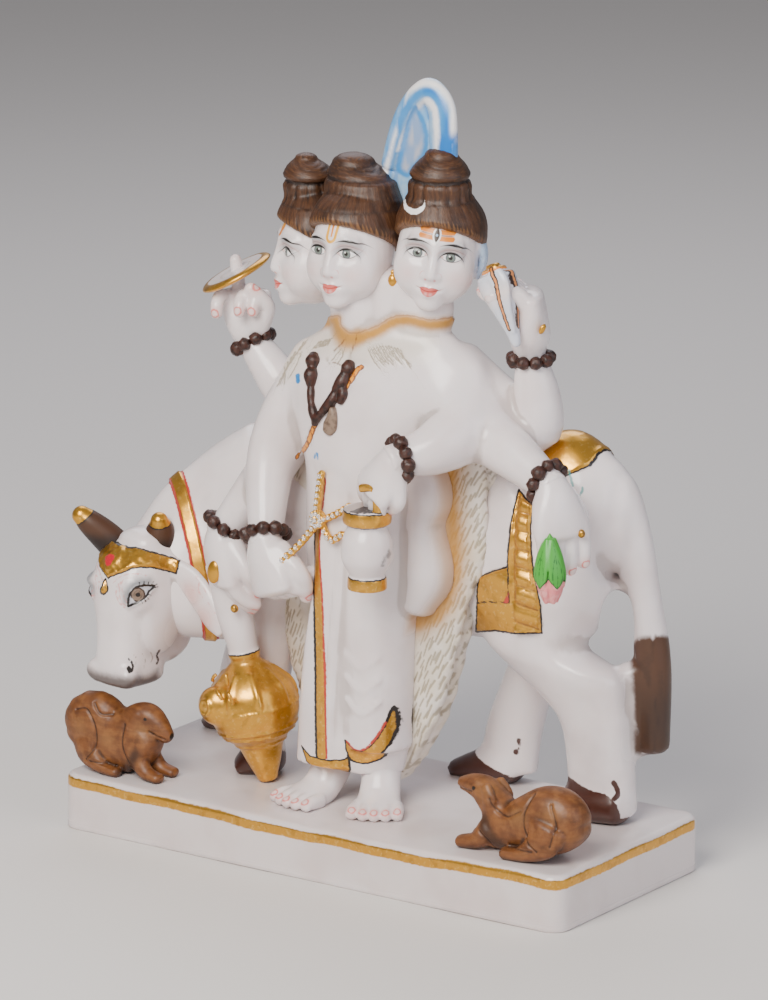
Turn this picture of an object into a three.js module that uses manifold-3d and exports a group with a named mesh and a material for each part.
// A three-headed, six-armed standing figure with a cow and two dogs on one slab, carved from white
// marble and painted, 300 mm tall, with a crystal-set cord glued on at its waist.
// Millimetres, +Z up. The origin is the middle of the slab's underside and the figure looks to -Y.

import * as THREE from "three";
import { mergeVertices } from "three/addons/utils/BufferGeometryUtils.js";
import Module from "manifold-3d";

const wasm = await Module();
wasm.setup();

// Driving dimensions
const SLAB = { length: 230, depth: 98, height: 22, corner: 7, edge: 1.5 };
const HEAD = { width: 31, depth: 33, height: 43 };
const HEADS = [
  { at: [-28.5, 0, 234], turn: -45, bun: [10, 9, 16], bunAt: [0, -3, 27] },
  { at: [-5, -10, 239.5], turn: 0, bun: [16, 13, 14], bunAt: [1, 4, 23] },
  { at: [28.5, -2, 242], turn: 30, bun: [11.5, 11, 16], bunAt: [1, 0, 26] },
];
const COW = { top: 166, belly: 82, middle: 22, halfWidth: 24 };
const BEAD = { rise: 2.6, waist: 0.86 };
const FINGER = { radius: 2.3, spacing: 4.5, bones: [7.5, 6.5], bend: 2.2 };
const FUR = { locks: 14, reach: 3 };
const CORD = { radius: 1.3, gap: 0.35 };

const X = new THREE.Vector3(1, 0, 0);
const Y = new THREE.Vector3(0, 1, 0);
const Z = new THREE.Vector3(0, 0, 1);
const vec = (p) => new THREE.Vector3(...p);
const rad = THREE.MathUtils.degToRad;

// How far along a rounded end its one ring lies, of the whole reach.
const DOME_STEP = 0.72;

// Turns a closed geometry into a solid that can be joined and cut.
function solid(geometry) {
  const bare = geometry.clone();
  bare.deleteAttribute("normal");
  bare.deleteAttribute("uv");
  const merged = mergeVertices(bare, 1e-4);
  const index = Array.from(merged.index.array);
  const kept = [];
  for (let i = 0; i < index.length; i += 3) {
    const [a, b, c] = index.slice(i, i + 3);
    if (a !== b && b !== c && c !== a) kept.push(a, b, c);
  }
  const mesh = new wasm.Mesh({
    numProp: 3,
    vertProperties: new Float32Array(merged.attributes.position.array),
    triVerts: new Uint32Array(kept),
  });
  return new wasm.Manifold(mesh);
}

// Joins solids into one.
function fuse(solids) {
  return solids.reduce((whole, next) => whole.add(next));
}

// A closed limb with an elliptical section through rows of [x, y, z, half width, half depth].
// The half width lies along side, square to the limb's own run, and dome rounds off either end.
// A carried limb has that side at its last row only and brings it back along its bends; a level
// one keeps all its sections flat, from a low row up or from a high row down.
function limb(rows, options = {}) {
  const { side = X, sides = 10, dome = [0.7, 0.7], wave = null } = options;
  const centres = new THREE.CatmullRomCurve3(rows.map((r) => vec(r.slice(0, 3))));
  const rise = Z.clone().multiplyScalar(Math.sign(rows.at(-1)[2] - rows[0][2]));
  const rings = rows.map(([x, y, z, a, b], i) => {
    const run = options.level ? rise : centres.getTangent(i / (rows.length - 1));
    return { at: vec([x, y, z]), run, a, b };
  });
  let across = side;
  for (const ring of [...rings].reverse()) {
    ring.u = across.clone().addScaledVector(ring.run, -across.dot(ring.run)).normalize();
    if (options.carried) across = ring.u;
  }
  const capped = [...rings];
  const addDome = (ring, amount, sign, put) => {
    if (!amount) return;
    const reach = amount * Math.min(ring.a, ring.b) * DOME_STEP;
    const at = ring.at.clone().addScaledVector(ring.run, sign * reach);
    const shrink = Math.sqrt(1 - DOME_STEP ** 2);
    put({ ...ring, at, a: ring.a * shrink, b: ring.b * shrink });
  };
  addDome(rings[0], dome[0], -1, (r) => capped.unshift(r));
  addDome(rings[rings.length - 1], dome[1], 1, (r) => capped.push(r));
  const tip = (ring, amount, sign) => {
    return ring.at.clone().addScaledVector(ring.run, sign * amount * Math.min(ring.a, ring.b));
  };
  const points = [];
  capped.forEach((ring, k) => {
    const { u } = ring;
    const v = ring.run.clone().cross(u);
    for (let j = 0; j < sides; j++) {
      const turn = (2 * Math.PI * j) / sides;
      const swell = wave ? wave(turn, j, k) : 1;
      const p = ring.at.clone();
      p.addScaledVector(u, ring.a * Math.cos(turn) * swell);
      p.addScaledVector(v, ring.b * Math.sin(turn) * swell);
      points.push(p);
    }
  });
  const faces = [];
  for (let i = 0; i < capped.length - 1; i++) {
    for (let j = 0; j < sides; j++) {
      const [p, q] = [i * sides + j, i * sides + ((j + 1) % sides)];
      faces.push(p, q, q + sides, p, q + sides, p + sides);
    }
  }
  const start = points.push(tip(rings[0], dome[0], -1)) - 1;
  const end = points.push(tip(rings[rings.length - 1], dome[1], 1)) - 1;
  const last = (capped.length - 1) * sides;
  for (let j = 0; j < sides; j++) {
    const next = (j + 1) % sides;
    faces.push(start, next, j);
    faces.push(end, last + j, last + next);
  }
  const geometry = new THREE.BufferGeometry().setFromPoints(points);
  geometry.setIndex(faces);
  return solid(geometry);
}

// A stretched ball with so many faces across and down.
function ball(at, radii, across, down) {
  const geometry = new THREE.SphereGeometry(1, across, down);
  geometry.rotateX(Math.PI / 2);
  geometry.scale(...radii);
  geometry.translate(...at);
  return solid(geometry);
}

// A turned shape from a profile of [radius, height], its axis laid from a point along a direction.
function turned(profile, at, direction, sides = 14) {
  const geometry = new THREE.LatheGeometry(profile.map((p) => new THREE.Vector2(...p)), sides);
  const toAxis = new THREE.Quaternion().setFromUnitVectors(Y, vec(direction).normalize());
  geometry.applyQuaternion(toAxis);
  geometry.translate(...at);
  return solid(geometry);
}

// A flat outline of [along, up] points in the plane of two directions, given a thickness.
function plate(outline, at, along, thickness) {
  const shape = new THREE.Shape(outline.map((p) => new THREE.Vector2(...p)));
  const geometry = new THREE.ExtrudeGeometry(shape, { depth: thickness, bevelEnabled: false });
  const across = vec(along).normalize();
  geometry.applyMatrix4(new THREE.Matrix4().makeBasis(across, Z, across.clone().cross(Z)));
  geometry.translate(...at);
  return solid(geometry);
}

// The slab, with round corners and a worn edge all round its top.
function slab() {
  const { length, depth, height, corner, edge } = SLAB;
  const [hx, hy] = [length / 2, depth / 2];
  const shape = new THREE.Shape();
  shape.absarc(hx - corner, hy - corner, corner, 0, Math.PI / 2);
  shape.absarc(-hx + corner, hy - corner, corner, Math.PI / 2, Math.PI);
  shape.absarc(-hx + corner, -hy + corner, corner, Math.PI, 1.5 * Math.PI);
  shape.absarc(hx - corner, -hy + corner, corner, 1.5 * Math.PI, 2 * Math.PI);
  const geometry = new THREE.ExtrudeGeometry(shape, {
    depth: height - 2 * edge,
    bevelThickness: edge,
    bevelSize: edge,
    bevelOffset: -edge,
    bevelSegments: 1,
    curveSegments: 2,
  });
  geometry.translate(0, 0, edge);
  return solid(geometry);
}

// Legs, lower cloth, belly, chest and the broad neck that carries the three heads.
function body() {
  return limb([
    [-1, -9, 34, 17, 11],
    [-1, -9, 50, 20, 14.5],
    [0, -9, 92, 21.5, 17],
    [0.5, -8, 120, 25.5, 18.5],
    [0, -8, 147, 25, 18],
    [1, -8, 160, 28, 18.5],
    [3.5, -7, 175, 37, 18.5],
    [7, -5, 187, 43, 17],
    [10, -4, 196, 39.5, 14],
    [11.5, -5, 204, 28, 12],
    [11, -6, 211, 21.5, 11],
    [9, -6, 226, 20, 10],
  ], { sides: 14, dome: [0, 0], level: true });
}

// The pleated cloth panel down the front, the thigh beside it and the gathered cloth at the hip.
function cloth() {
  const panel = limb([
    [-3, -24, 147, 5, 3.2],
    [-5, -24, 115, 6.5, 3.4],
    [-9, -23, 75, 9.5, 4],
    [-10, -22, 36, 12, 5],
  ], { sides: 8, dome: [0.5, 0] });
  const thigh = limb([
    [9, -12, 130, 12, 14],
    [10, -12, 95, 11.5, 14],
    [9.5, -12, 48, 11, 13.5],
  ], { sides: 10, dome: [0.5, 0.2] });
  const gather = limb([
    [25, -6, 160, 8, 11],
    [29, -6, 146, 9, 12.5],
    [27.5, -6, 134, 8, 11.5],
    [29, -6, 116, 9.5, 12.5],
    [25, -7, 104, 7.5, 10],
  ], { sides: 10, dome: [0.5, 0.8] });
  return fuse([panel, thigh, gather]);
}

// A bare foot with five toes, from its heel along a heading in degrees from -Y towards +X.
function foot(heel, heading) {
  const run = new THREE.Vector3(Math.sin(rad(heading)), -Math.cos(rad(heading)), 0);
  const across = new THREE.Vector3(Math.cos(rad(heading)), Math.sin(rad(heading)), 0);
  const place = (along, out, up) => {
    const p = vec(heel).addScaledVector(run, along).addScaledVector(across, out);
    return p.setZ(SLAB.height + up).toArray();
  };
  const parts = [limb([
    [...place(1, 0, 22), 9, 8],
    [...place(2, 0, 12), 7.5, 8],
    [...place(8, 0, 3.5), 8, 6.5],
    [...place(20, 0, 2), 10.5, 4],
  ], { side: across, sides: 8, dome: [0, 0] })];
  for (let i = 0; i < 5; i++) {
    const out = (i - 2) * 4.3;
    const reach = 25 - 0.5 * (i - 2) ** 2;
    parts.push(limb([
      [...place(15, out * 0.9, 2), 2.5, 3],
      [...place(reach, out, 1.2), 2.4, 2.4],
    ], { side: across, sides: 4, dome: [0, 0] }));
  }
  return fuse(parts);
}

// An arm through rows from shoulder to wrist, with its string of beads and its hand. The hand goes
// on from the wrist along toward, its palm facing another way; four fingers bend by curl degrees at
// each knuckle and the thumb lies along the palm, on the side that its sign gives.
function arm(rows, { toward, palm, curl, size = 1, thumb = 1 }) {
  const w = vec(toward).normalize();
  const p = vec(palm).addScaledVector(w, -vec(palm).dot(w)).normalize();
  const s = w.clone().cross(p);
  const [before, last] = rows.slice(-2);
  const wrist = new THREE.Vector3(last[0], last[1], last[2]);
  const run = wrist.clone().sub(new THREE.Vector3(before[0], before[1], before[2])).normalize();
  const half = last[3];
  const band = [[-3, 0], [-1.8, 1], [1.8, 1], [3, 0]].map(([along, out]) => {
    const at = wrist.clone().addScaledVector(run, along);
    return [...at.toArray(), half + out * BEAD.rise, half + out * BEAD.rise];
  });
  const place = (along, out, deep) => {
    const q = wrist.clone().addScaledVector(run, 3).addScaledVector(w, along * size);
    return q.addScaledVector(s, out * size).addScaledVector(p, deep * size);
  };
  const row = (q, a, b) => [...q.toArray(), a * size, b * size];
  const first = rows.length;
  const beads = (turn, j, k) => {
    const onBand = k === first || k === first + 1;
    return onBand && j % 2 ? BEAD.waist : 1;
  };
  const parts = [limb([
    ...rows.slice(0, -1),
    ...band,
    row(place(6, 0, 0), 8.5, 5.5),
    row(place(16, 0, 0), 9.5, 4.2),
  ], { side: s, sides: 8, dome: [0, 0], wave: beads, carried: true })];
  for (let i = 0; i < 4; i++) {
    let at = place(13, (i - 1.5) * FINGER.spacing, 0);
    const finger = [row(at, FINGER.radius, FINGER.radius)];
    FINGER.bones.forEach((bone, k) => {
      const angle = rad(curl[i]) * Math.min(k + 1, FINGER.bend);
      at = at.clone().addScaledVector(w, Math.cos(angle) * bone * size);
      at.addScaledVector(p, Math.sin(angle) * bone * size);
      finger.push(row(at, FINGER.radius, FINGER.radius));
    });
    parts.push(limb(finger, { side: s, sides: 4, dome: [0, 0] }));
  }
  parts.push(limb([
    row(place(4, 6 * thumb, 1.5), 3, 3),
    row(place(11, 9.8 * thumb, 4), 2.7, 2.7),
    row(place(16, 6 * thumb, 7.5), 2.2, 2.2),
  ], { side: s, sides: 4, dome: [0, 0] }));
  return fuse(parts);
}

// The three arms on the figure's own right side, at -X: raised, inner and outer.
function rightArms() {
  return fuse([
    arm([
      [-30, 4, 172, 11, 11],
      [-46, 5, 173, 9, 9],
      [-61, 4, 189, 6, 6],
    ], { toward: [-0.08, 0, 1], palm: [0.2, -1, 0.2], curl: [76, 4, 72, 74], size: 1.15 }),
    arm([
      [-27, -3, 184, 10, 11],
      [-35.5, -9, 166, 9.5, 11],
      [-38.5, -16, 148, 8.5, 9.5],
      [-32.5, -27.5, 125, 6.5, 6.5],
    ], { toward: [0.3, -0.15, -1], palm: [0.4, 0.9, 0], curl: [70, 70, 70, 70], size: 1.3 }),
    arm([
      [-28, -2, 172, 9, 9],
      [-38, -8, 153, 8.5, 9],
      [-56, -20.5, 122.5, 6.3, 6.3],
    ], { toward: [0.1, -0.05, -1], palm: [0.6, 0.8, 0], curl: [20, 22, 25, 28], size: 1.3 }),
  ]);
}

// The three arms on the figure's own left side, at +X: raised, middle and lower.
function leftArms() {
  return fuse([
    arm([
      [34, 2, 191, 13, 12],
      [50, 6, 181, 10.5, 10],
      [65, 8, 173, 10, 10],
      [66, 8, 185, 9, 9],
      [64.5, 6, 200, 6, 6],
    ], { toward: [0, 0, 1], palm: [-0.8, -0.6, 0], curl: [56, 54, 52, 50], size: 1.45, thumb: -1 }),
    arm([
      [32, -4, 187, 15, 14],
      [45, -12, 175, 12.5, 13],
      [43, -25, 169, 10, 10],
      [35, -36, 166, 6.5, 6.5],
    ], { toward: [-0.5, -0.2, -0.85], palm: [0.3, 1, -0.1], curl: [28, 26, 24, 22] }),
    arm([
      [36, -2, 186, 14, 14],
      [52, -6, 173, 10.5, 11],
      [68, -10, 167, 9, 9.5],
      [86, -15, 160, 6.5, 6.5],
    ], { toward: [0.35, -0.1, -0.94], palm: [-0.9, 0.4, 0], curl: [18, 16, 14, 12], size: 1.25 }),
  ]);
}

// One head in one run from chin to bun: face, combed hair above it and the coiled bun, with a nose
// and ears. The hair's own rings stand out from the face and carry the combed locks.
function head({ at, turn, bun, bunAt }) {
  const [w, d, h] = [HEAD.width / 2, HEAD.depth / 2, HEAD.height];
  const [bw, bd, bh] = bun;
  const [bx, by, bz] = bunAt;
  const face = [
    [0, -5, -0.52 * h, 0.3 * w, 0.34 * d],
    [0, -3, -0.44 * h, 0.6 * w, 0.66 * d],
    [0, -1.5, -0.26 * h, 0.88 * w, 0.9 * d],
    [0, 0, -0.02 * h, w, d],
    [0, 0.5, 0.17 * h, w, d],
  ];
  const hair = [
    [0, 1.6, 0.2 * h, 1.1 * w, 1.08 * d],
    [0, 2, 0.36 * h, 1.06 * w, 1.04 * d],
    [bx / 2, 1, 0.47 * h, 0.85 * w, 0.83 * d],
    [bx, by, bz - 0.25 * bh, 1.04 * bw, 1.04 * bd],
    [bx, by, bz - 0.08 * bh, 0.86 * bw, 0.86 * bd],
    [bx, by, bz + 0.1 * bh, 0.96 * bw, 0.96 * bd],
    [bx, by, bz + 0.4 * bh, 0.55 * bw, 0.55 * bd],
  ];
  const locks = (angle, j, k) => (k >= face.length && j % 2 ? 0.95 : 1);
  const parts = [
    limb([...face, ...hair], { sides: 12, dome: [0, 0], wave: locks, level: true }),
    limb([
      [0, -0.93 * d, 0.02 * h, 1.2, 1.2],
      [0, -1.09 * d, -0.17 * h, 2.6, 2.2],
    ], { sides: 4, dome: [0, 0] }),
  ];
  for (const s of [-1, 1]) {
    parts.push(ball([s * (w + 0.6), 2, -0.04 * h], [1.8, 3.2, 5.5], 4, 3));
  }
  return fuse(parts).rotate(0, 0, turn).translate(...at);
}

// The stream that rises in an arch from the left head's bun: two broad bands and their web.
function stream() {
  const falling = limb([
    [5.5, 3, 258, 6, 3.5],
    [8, 3, 274, 6, 3.5],
    [12, 2, 287, 6, 3.5],
    [20, 1, 296, 4.5, 3.5],
  ], { sides: 8, dome: [0, 0.5] });
  const rising = limb([
    [30.5, -1, 266, 6, 4],
    [30.5, -1, 284, 6, 4],
    [27, -1, 294, 6, 4],
    [20, 0, 297.5, 4, 3.8],
  ], { sides: 8, dome: [0, 0.5] });
  const web = limb([
    [17, 2, 260, 10, 2],
    [20, 0, 280, 8, 2],
    [21, -1, 292, 5, 2],
  ], { sides: 6, dome: [0, 0] });
  return fuse([falling, rising, web]);
}

// What the hands hold: discus, conch, water pot, lotus bud and mace.
function attributes() {
  const discus = turned([[0, -1.2], [12, -1.2], [14.5, 0], [12, 1.4], [0, 1.4]],
    [-67, 2, 215.5], [-0.42, -0.25, 0.9], 12);
  const conch = turned([[0, -7], [5, -6], [7.5, -1], [7, 5], [5, 12], [2.4, 20], [0, 25]],
    [57.5, -6, 231], [0.42, -0.1, -0.9], 7);
  const pot = turned(
    [[0, -3], [7, -3], [6.4, 2], [9.6, 8], [9.4, 16], [7.4, 21], [9, 23], [8.6, 28], [0, 28]],
    [23, -40, 118.5], [0, 0, 1], 10);
  const spout = limb([
    [29, -43, 142, 1.8, 2],
    [29, -43, 154, 1.8, 2],
    [24, -43.5, 155, 1.6, 2],
  ], { sides: 4, dome: [0, 0] });
  const lotus = turned([[0, -13], [3.6, -9], [6, -2], [5.4, 7], [0, 18]],
    [92, -29, 126], [-0.05, 0.05, 1], 7);
  const shaft = limb([
    [-57, -20, 108, 8, 7],
    [-54, -18, 88, 7.5, 6.5],
    [-50.5, -16.5, 72, 5.5, 5.5],
  ], { sides: 7, dome: [0, 0] });
  const mace = turned(
    [[0, -3], [5.6, -3], [6, 1], [12, 6], [16.5, 13], [17.2, 21], [13.5, 30], [8, 38], [3.6, 49],
      [0, 49]],
    [-50.5, -16.5, 71], [0.157, 0.083, -0.98], 10);
  const boss = ball([-56, -31, 54], [7, 5, 7.5], 6, 3);
  return fuse([discus, conch, pot, spout, lotus, shaft, mace, boss]);
}

// The fur cloak that hangs behind the figure, wider to either side, its edge cut into locks.
function cloak() {
  const outline = new THREE.CatmullRomCurve3([
    [9, 34, 189], [5, 44, 175], [1, 50, 150], [0, 51, 122], [-4, 47, 104], [-6, 43, 83],
    [-6, 35, 58], [-5, 24, 40], [-4, 14, 29],
  ].map(vec));
  const rows = [];
  for (let i = 0; i <= FUR.locks; i++) {
    const { x, y, z } = outline.getPoint(i / FUR.locks);
    const half = y + (i % 2 ? FUR.reach : -FUR.reach) / 2;
    rows.push([x, 5.5, z, half, 8]);
  }
  return limb(rows, { sides: 10, dome: [0.4, 0.4], level: true });
}

// Body and neck of the cow, which stands behind the figure.
function cowBody() {
  const { top, belly, middle, halfWidth } = COW;
  const rise = (top - belly) / 2;
  const centre = (top + belly) / 2;
  const barrel = limb([
    [94, middle + 4, centre + 14, 0.4 * halfWidth, 0.42 * rise],
    [83, middle + 2, centre + 12, 0.8 * halfWidth, 0.62 * rise],
    [64, middle, centre + 2, halfWidth, 0.94 * rise],
    [10, middle, centre - 2, halfWidth, 0.93 * rise],
    [-46, middle - 2, centre - 4, 0.96 * halfWidth, 0.9 * rise],
    [-68, middle - 4, centre - 12, 0.84 * halfWidth, 0.84 * rise],
    [-80, middle - 5, centre - 20, 0.6 * halfWidth, 0.66 * rise],
  ], { side: Y, sides: 12, dome: [0.5, 0] });
  const neck = limb([
    [-50, 18, 122, 21, 38],
    [-70, 12, 110, 18, 36],
    [-84, 2, 101, 16, 31],
    [-95, -9, 93, 14, 23],
  ], { side: Y, sides: 10, dome: [0, 0.5] });
  return fuse([barrel, neck]);
}

// The cow's head hangs straight down; its own frame looks along -Y and is then turned and placed.
function cowHead() {
  const boxy = (angle) => 1 + 0.12 * Math.sin(2 * angle) ** 2;
  const parts = [
    limb([
      [0, 2, 25, 10, 10],
      [0, -1, 17, 15, 16],
      [0, -1, 5, 15, 18],
      [0, -2, -8, 12, 17],
      [0, -6, -19, 11, 13.5],
      [0, -7, -26, 11, 13],
    ], { sides: 8, dome: [0.5, 0.3], wave: boxy, level: true }),
    plate([
      [-15, 17], [-6, 15], [0, 9], [6, 15], [15, 13], [15, 20], [5, 22], [0, 27], [-5, 23], [-15, 24],
    ], [0, -12, 0], [1, 0, 0], 6.5),
  ];
  for (const s of [-1, 1]) {
    parts.push(limb([
      [s * 11, -3, 19, 5, 5],
      [s * 17, -8, 26, 4, 4],
      [s * 21, -13, 34, 2.6, 2.6],
    ], { side: Y, sides: 5, dome: [0, 0] }));
    parts.push(limb([
      [s * 12, 8, 12, 4, 2.5],
      [s * 20, 12, 5, 7.5, 2.8],
      [s * 28, 15, -12, 3, 2],
    ], { side: Z, sides: 5, dome: [0, 0] }));
    parts.push(ball([s * 11.5, -11, 5], [3, 4.5, 3.6], 5, 3));
  }
  return fuse(parts).rotate(0, 0, -10).translate(-99, -17, 84);
}

// A cow's leg from its top down, then a hoof about a middle point along a heading from -X.
function leg(rows, hoof, heading, length) {
  const run = new THREE.Vector3(-Math.cos(rad(heading)), -Math.sin(rad(heading)), 0);
  const floor = SLAB.height;
  const place = (along, up) => vec(hoof).addScaledVector(run, along).setZ(floor + up).toArray();
  return fuse([
    limb(rows, { sides: 7, dome: [0, 0], level: true }),
    limb([
      [...place(-length / 2, 5), 8, 6.5],
      [...place(0, 4), 8.5, 6],
      [...place(length / 2, 0.5), 7, 3],
    ], { side: run.clone().cross(Z), sides: 7, dome: [0.4, 0] }),
  ]);
}

// The cow's four legs, all on the slab, and the tail that comes back to the near hind leg.
function cowLegs() {
  const tail = limb([
    [80, 24, 158, 8, 6],
    [91, 26, 148, 7, 6.5],
    [97, 28, 133, 6, 6.5],
    [101, 29, 109, 6, 6.5],
    [104, 30, 84, 7.3, 7],
    [104, 30, 52, 7.3, 6.5],
  ], { sides: 7, dome: [0, 0.5] });
  return fuse([
    leg([[-66, 30, 96, 14, 12], [-82, 32, 66, 9, 9], [-92, 35, 42, 8, 7], [-95, 36, 26, 8, 7]],
      [-98, 36, 0], 0, 14),
    leg([[-56, 8, 96, 13, 12], [-54, 4, 62, 9, 9], [-53, 0, 40, 7, 7], [-52, -2, 26, 7, 7]],
      [-54, -4, 0], 30, 14),
    leg([[60, 34, 98, 16, 12], [47, 38, 74, 11, 9], [36, 40, 46, 12, 8], [33, 40, 27, 12, 7.5]],
      [22, 40, 0], 0, 26),
    leg([[62, 14, 114, 19, 15], [61, 15, 90, 20, 14], [72, 17, 80, 25, 13], [81, 19, 68, 18, 11],
      [86, 21, 56, 14.5, 11], [87, 24, 26, 13.5, 10]], [80, 20, 0], 8, 28),
    tail,
  ]);
}

// The saddle cloth: its border on the near flank and the strip over the spine.
function saddle() {
  const flank = plate([[0, 0], [28, 0], [28, 58], [16, 58], [16, 14], [0, 14]],
    [47, 3, 95], [1, 0, 0], 7);
  const strip = limb([
    [72, 2, 152, 10, 4],
    [72, 8, 161, 12, 3],
    [72, 22, 167, 12, 3],
    [72, 38, 159, 10, 3],
    [72, 44, 142, 8, 3],
  ], { sides: 6, dome: [0, 0] });
  return fuse([flank, strip]);
}

// A lying dog in its own frame: head to -X, forelegs out and haunches folded.
function dog({ at, mirror, muzzle, rump, size }) {
  const parts = [
    limb([
      [21, 1, 12 + rump / 2, 9, 10 + rump / 2],
      [13, 1, 14 + rump / 2, 9.5, 12 + rump / 2],
      [1, 0, 11, 8, 9],
      [-13, 0, 11, 7.5, 9.5],
    ], { side: Y, sides: 7, dome: [0.5, 0] }),
    limb([
      [-12, 0, 12, 7, 7],
      [-15, 0, 27, 5.5, 6],
    ], { side: Y, sides: 6, dome: [0, 0.5] }),
    limb([
      [-12, 0, 27, 5.5, 5.5],
      [-25, 0, 27 + muzzle, 2.8, 2.6],
    ], { side: Y, sides: 5, dome: [0, 0] }),
  ];
  for (const s of [-1, 1]) {
    parts.push(limb([
      [-12, s * 5, 8, 3.6, 4],
      [-16, s * 6, 2, 3.4, 3],
      [-23, s * 6, 1.4, 3.4, 2.6],
    ], { side: Y, sides: 4, dome: [0, 0] }));
    parts.push(limb([
      [15, s * 8, 10, 4, 7],
      [14, s * 8.5, 2, 3.4, 3.2],
      [0, s * 8.5, 1.6, 3, 2.8],
    ], { side: Y, sides: 4, dome: [0, 0] }));
    parts.push(limb([
      [-13, s * 5, 29, 1.8, 2.6],
      [-10, s * 6, 19, 1.4, 2],
    ], { side: Y, sides: 4, dome: [0, 0] }));
  }
  const whole = fuse(parts).scale([size, size, size]);
  return whole.rotate(0, 0, mirror ? 180 : 0).translate(at[0], at[1], SLAB.height);
}

// The crystal-set cord: a knot on the belly with its loose ends and the run into the fist. More is
// added to its thickness all round to make the groove that it lies in.
function jewelledCord(more = 0) {
  const r = CORD.radius + more;
  const runs = [
    [[-6, -28, 153], [-7, -28.5, 145], [-8, -28.5, 137]],
    [[-5, -28.5, 135], [1, -29, 138], [7, -28, 142]],
    [[-6, -28.5, 134], [-1, -29, 128], [5, -29, 131], [9, -28.5, 127]],
    [[-7, -28.5, 134], [-14, -30, 125], [-21, -34, 117]],
  ];
  const parts = runs.map((run) => {
    return limb(run.map((p) => [...p, r, r]), { side: Y, sides: 6, dome: [0.5, 0.5] });
  });
  parts.push(ball([-7, -28.5, 135], [3.6 + more, 2.2 + more, 4 + more], 7, 5));
  return fuse(parts);
}

// Gives a finished solid a name and a finish.
function named(name, shape, finish) {
  const mesh = shape.getMesh();
  const geometry = new THREE.BufferGeometry();
  geometry.setAttribute("position", new THREE.BufferAttribute(mesh.vertProperties, 3));
  geometry.setIndex(new THREE.BufferAttribute(mesh.triVerts, 1));
  const piece = new THREE.Mesh(geometry, new THREE.MeshStandardMaterial(finish));
  piece.name = name;
  return piece;
}

const groove = jewelledCord(CORD.gap);
const statue = fuse([
  slab(),
  body(),
  cloth(),
  foot([-12, -11, 0], -12),
  foot([8, -9, 0], 28),
  cloak(),
  rightArms(),
  leftArms(),
  ...HEADS.map(head),
  stream(),
  attributes(),
  cowBody(),
  cowHead(),
  cowLegs(),
  saddle(),
  dog({ at: [-96, -34], mirror: true, muzzle: -3, rump: 5, size: 0.88 }),
  dog({ at: [88, -31], mirror: false, muzzle: 3, rump: 0, size: 1.05 }),
]).subtract(groove);

const group = new THREE.Group();
group.add(named("statue", statue, { color: 0xe6dedd, roughness: 0.32, metalness: 0 }));
group.add(named("jewelled_cord", jewelledCord(), { color: 0xd9a441, roughness: 0.25, metalness: 1 }));
export default group;
